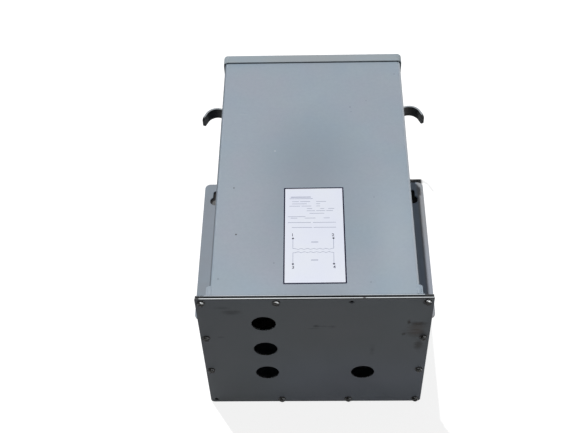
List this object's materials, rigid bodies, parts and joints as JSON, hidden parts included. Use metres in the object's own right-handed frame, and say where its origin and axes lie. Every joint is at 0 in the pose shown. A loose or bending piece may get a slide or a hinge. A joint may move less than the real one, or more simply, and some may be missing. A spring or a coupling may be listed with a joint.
{
  "type": "encapsulated wall-mount transformer",
  "caption": "Encapsulated dry-type transformer in a grey sheet-steel case with a screwed cable-end plate, conduit holes, keyhole wall brackets and lifting hooks.",
  "frame": {"origin": "centre of the outline in plan, on the wall plane, which is the floor while the unit lies on its back", "axes": "+Y from the cable end to the top end, +Z out of the front panel, away from the wall, +X to the right seen from the front with the cable end down"},
  "size_m": [0.4046, 0.516, 0.2835],
  "materials": {
    "enclosure_paint": "semi-gloss grey baked enamel, lightly worn",
    "gasket_rubber": "matt black rubber strip",
    "filling_compound": "dark cast filling of sand and resin",
    "label_film": "satin printed film",
    "zinc_screws": "zinc-plated, dulled"
  },
  "bodies": {
    "root": {"bottom_plate": "enclosure_paint", "plate_gasket": "gasket_rubber", "case_wrap": "enclosure_paint", "case_back": "enclosure_paint", "top_cap": "enclosure_paint", "fill_block": "filling_compound", "side_angle_right": "enclosure_paint", "side_angle_left": "enclosure_paint", "wall_bracket_right": "enclosure_paint", "wall_bracket_left": "enclosure_paint", "lifting_hook_right": "enclosure_paint", "lifting_hook_left": "enclosure_paint"}
  },
  "joints": []
}
